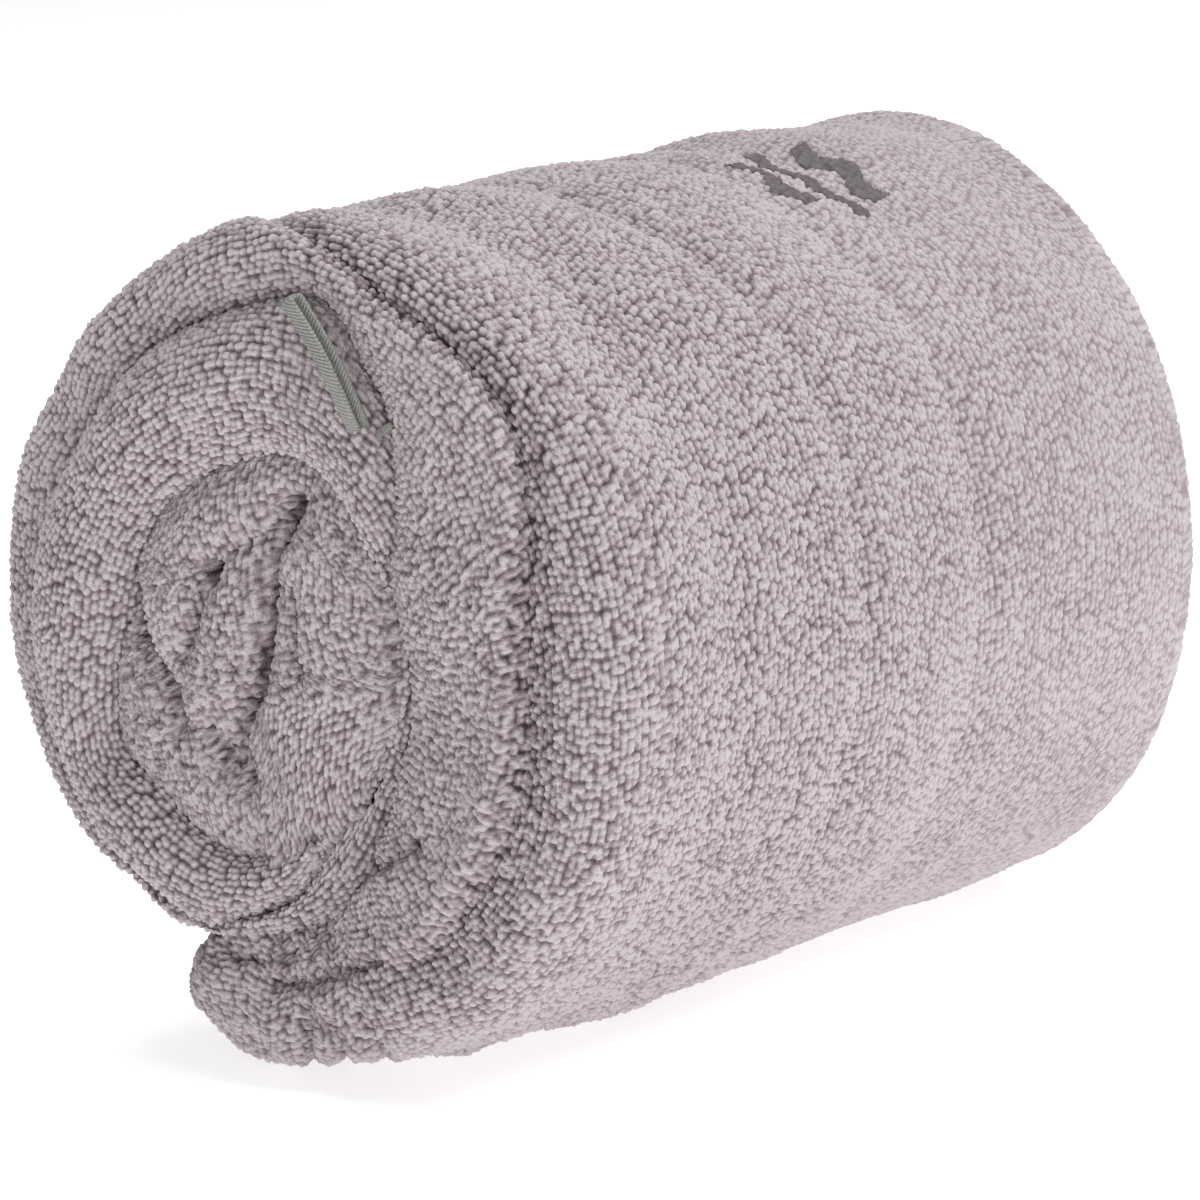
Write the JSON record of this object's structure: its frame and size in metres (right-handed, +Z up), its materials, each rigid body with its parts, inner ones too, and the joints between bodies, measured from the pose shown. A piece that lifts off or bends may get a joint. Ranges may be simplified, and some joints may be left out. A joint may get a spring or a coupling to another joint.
{
  "type": "rolled quick dry towel",
  "caption": "Microfibre terry travel towel, folded to a narrow strip and rolled up, with a cord hanging loop and a loose end that pulls out.",
  "frame": {"origin": "on the surface that the roll rests on, under the middle of its bounding box", "axes": "+X along the roll's axis towards the hemmed end, +Y towards the side where the free end comes out, +Z up"},
  "size_m": [0.1526, 0.1188, 0.1247],
  "materials": {
    "terry_cloth": "microfibre terry, mauve grey, dense small loops",
    "hem_thread": "overlocked polyester thread over terry",
    "loop_cord": "satin stitched flat cord, grey green",
    "print_film": "dark grey transfer print, satin"
  },
  "bodies": {
    "roll": {"outer_turn": "terry_cloth", "inner_turn": "terry_cloth", "core_turn": "terry_cloth", "long_hem_inner": "hem_thread", "long_hem_outer": "hem_thread", "short_hem_start": "hem_thread", "short_hem_end": "hem_thread", "loop_tack_left": "loop_cord", "loop_tack_right": "loop_cord", "print_stroke_1": "print_film", "print_stroke_2": "print_film", "print_stroke_3": "print_film"},
    "free_end": {"free_end": "terry_cloth", "free_end_hem_inner": "hem_thread", "free_end_hem_outer": "hem_thread"},
    "hang_loop": {"hang_loop": "loop_cord"}
  },
  "joints": [
    {"name": "free_end_pull", "type": "slide", "parent": "roll", "child": "free_end", "axis": [0, 1, 0], "range_m": [0, 0.006]},
    {"name": "hang_loop_lift", "type": "hinge", "parent": "roll", "child": "hang_loop", "pos_m": [-0.07515, -0.0206, 0.0935], "axis": [0, -0.8788, 0.4772], "range_deg": [0, 85]}
  ]
}
